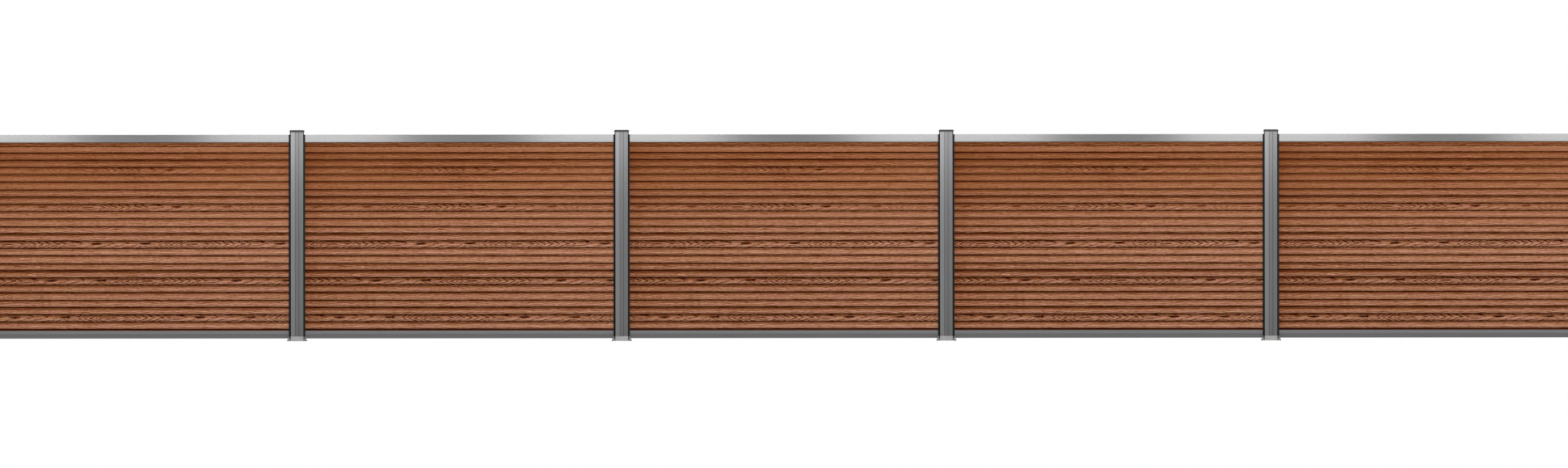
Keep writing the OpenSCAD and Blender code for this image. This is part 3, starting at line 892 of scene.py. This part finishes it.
# Anodised aluminium in silver: the same brush as the bottom rail, in paler colours that are painted light.
anodised_top = brushed_rail(
    "aluminium_anodised_top_rail", linear("#616161"), linear("#7C7C7C"), smooth=0.3, rough=0.38
)
dress("top_rail_", anodised_top)


# ---- Post caps -----------------------------------------------------------------------------------
# Moulded ASA, dark grey: a bevelled top, a skirt round the post's end and a plug that is pushed into the
# post's chamber.

# ASA plastic with an eroded mould finish: satin, near black, its grain drawn coarser than the real one so
# that it shows. The skirt's faces have chalked in the sun; painted shade makes the bevel and the corners
# black.
mould_grain = 0.9 * mm
asa_grey = linear("#2F2F30")
asa_chalked = linear("#424243")
asa_painted_shade = linear("#0B0B0C")
cap_edge = 38.0 * mm
bevel_foot = 1191.5 * mm

asa, tree, shader = new_material("asa_moulded_dark")
place = add_node(tree, "ShaderNodeTexCoord", output="Object")
grain = add_node(tree, "ShaderNodeTexNoise", {"Vector": place, "Scale": 1.0 / mould_grain, "Detail": 1.0})
dark = add_node(tree, "ShaderNodeMix", {"Factor": grain, "A": asa_grey, "B": asa_chalked}, data_type="RGBA")
_, x_far, y_far, height = beside_post(tree, place)
near_corner = add_node(tree, "ShaderNodeMath", {0: x_far, 1: y_far}, operation="MINIMUM")
at_side = add_node(
    tree,
    "ShaderNodeMapRange",
    {"Value": near_corner, "From Min": cap_edge - 4.0 * mm, "From Max": cap_edge + 1.0 * mm},
)
at_top = add_node(
    tree,
    "ShaderNodeMapRange",
    {"Value": height, "From Min": bevel_foot - 3.0 * mm, "From Max": bevel_foot},
)
# Painted shade: the bevel and the cap's corners turn black.
black = add_node(tree, "ShaderNodeMath", {0: at_side, 1: at_top}, operation="MAXIMUM")
dark = add_node(tree, "ShaderNodeMix", {"Factor": black, "A": dark, "B": asa_painted_shade}, data_type="RGBA")
bump = add_node(tree, "ShaderNodeBump", {"Height": grain, "Strength": 0.5, "Distance": 0.15 * mm})
feed(tree, shader, {"Base Color": dark, "Roughness": 0.42, "Normal": bump})
shader.inputs["Specular IOR Level"].default_value = 0.2
dress("post_cap_", asa)


# ---- Floor and light -----------------------------------------------------------------------------
# A plain white floor, an even white surrounding, a broad lamp before and above the fence, and one soft
# lamp before each post that only the metal and the plastic mirror.


def seen_ray(tree):
    """1 on rays from the camera and on those that metal or glass turns, 0 on rays that only bring light."""
    path = add_node(tree, "ShaderNodeLightPath").node
    seen = path.outputs["Is Camera Ray"]
    for turned in ("Is Glossy Ray", "Is Transmission Ray"):
        seen = add_node(tree, "ShaderNodeMath", {0: seen, 1: path.outputs[turned]}, operation="MAXIMUM")
    return seen


floor_mesh = bpy.data.meshes.new("floor")
floor_corners = [(-30.0, -30.0, 0.0), (40.0, -30.0, 0.0), (40.0, 30.0, 0.0), (-30.0, 30.0, 0.0)]
floor_mesh.from_pydata(floor_corners, [], [(0, 1, 2, 3)])
floor = bpy.data.objects.new("floor", floor_mesh)
scene.collection.objects.link(floor)
floor_material, tree, shader = new_material("floor_white")
pale = add_node(
    tree,
    "ShaderNodeMix",
    {"Factor": seen_ray(tree), "A": linear("#A0A0A0"), "B": linear("#F3F3F3")},
    data_type="RGBA",
)
feed(tree, shader, {"Base Color": pale, "Roughness": 0.9})
floor_mesh.materials.append(floor_material)

surround = 0.4
world = bpy.data.worlds.new("surroundings")
scene.world = world
world.use_nodes = True
tree = world.node_tree
level = add_node(tree, "ShaderNodeMapRange", {"Value": seen_ray(tree), "To Min": surround, "To Max": 1.0})
backdrop = add_node(tree, "ShaderNodeBackground", {"Color": (1.0, 1.0, 1.0, 1.0), "Strength": level})
tree.links.new(backdrop, tree.nodes["World Output"].inputs["Surface"])

key = bpy.data.objects.new("key", bpy.data.lights.new("key", "SUN"))
scene.collection.objects.link(key)
key.data.energy = 2.6
key.data.angle = np.radians(20.0)
key.rotation_euler = Euler(np.radians((50.0, 0.0, 12.0)))

rear = bpy.data.objects.new("rear", bpy.data.lights.new("rear", "SUN"))
scene.collection.objects.link(rear)
rear.data.energy = 2.2
rear.data.angle = np.radians(40.0)
rear.rotation_euler = Euler(np.radians((-45.0, 0.0, 20.0)))

for i in range(1, 7):
    low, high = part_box(f"post_{i}")
    lamp = bpy.data.objects.new(f"post_lamp_{i}", bpy.data.lights.new(f"post_lamp_{i}", "AREA"))
    scene.collection.objects.link(lamp)
    lamp.data.shape = "RECTANGLE"
    lamp.data.size = 1.1
    lamp.data.size_y = 0.5
    lamp.data.energy = 6.2
    lamp.location = ((low.x + high.x) / 2.0 + 0.03, -0.9, high.z + 0.12)
    lamp.rotation_euler = Euler(np.radians((90.0, 0.0, 0.0)))
    lamp.visible_camera = False
    lamp.visible_diffuse = False
